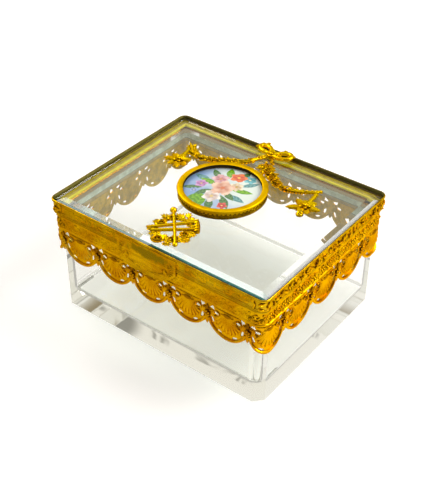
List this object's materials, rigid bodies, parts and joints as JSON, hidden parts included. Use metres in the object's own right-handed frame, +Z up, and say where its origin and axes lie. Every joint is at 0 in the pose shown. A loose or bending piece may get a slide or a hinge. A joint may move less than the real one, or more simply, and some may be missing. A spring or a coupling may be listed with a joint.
{
  "type": "glass casket box",
  "caption": "Rectangular crystal keepsake casket with a hinged bevelled glass lid, gilt brass frame, pierced scalloped gallery and a porcelain medallion.",
  "frame": {"origin": "centre of the flat base on the surface the box stands on", "axes": "+Z up, +X along the long side, -Y the front, opposite the hinge"},
  "size_m": [0.14, 0.121, 0.0777],
  "materials": {
    "crystal": "polished clear crystal",
    "lid_glass": "polished bevelled plate glass",
    "gilt_brass": "bright gilt, stamped and chased",
    "porcelain": "glazed, painted with a bunch of flowers"
  },
  "bodies": {
    "casket": {"crystal_body": "crystal", "collar_rim": "gilt_brass", "gallery_front": "gilt_brass", "gallery_right": "gilt_brass", "gallery_back": "gilt_brass", "gallery_left": "gilt_brass", "hinge_body_leaf": "gilt_brass", "hinge_pin": "gilt_brass"},
    "lid": {"lid_frame": "gilt_brass", "lid_glass": "lid_glass", "hinge_lid_leaf": "gilt_brass", "thumb_lift": "gilt_brass", "medallion_ring": "gilt_brass", "medallion_backplate": "gilt_brass", "porcelain_plaque": "porcelain", "ribbon_bow": "gilt_brass", "garland_left": "gilt_brass", "garland_right": "gilt_brass", "drop_left": "gilt_brass", "drop_right": "gilt_brass", "wreath_mount": "gilt_brass"}
  },
  "joints": [
    {"name": "lid_hinge", "type": "hinge", "parent": "casket", "child": "lid", "pos_m": [0, 0.0592, 0.06435], "axis": [-1, 0, 0], "range_deg": [0, 105]}
  ]
}
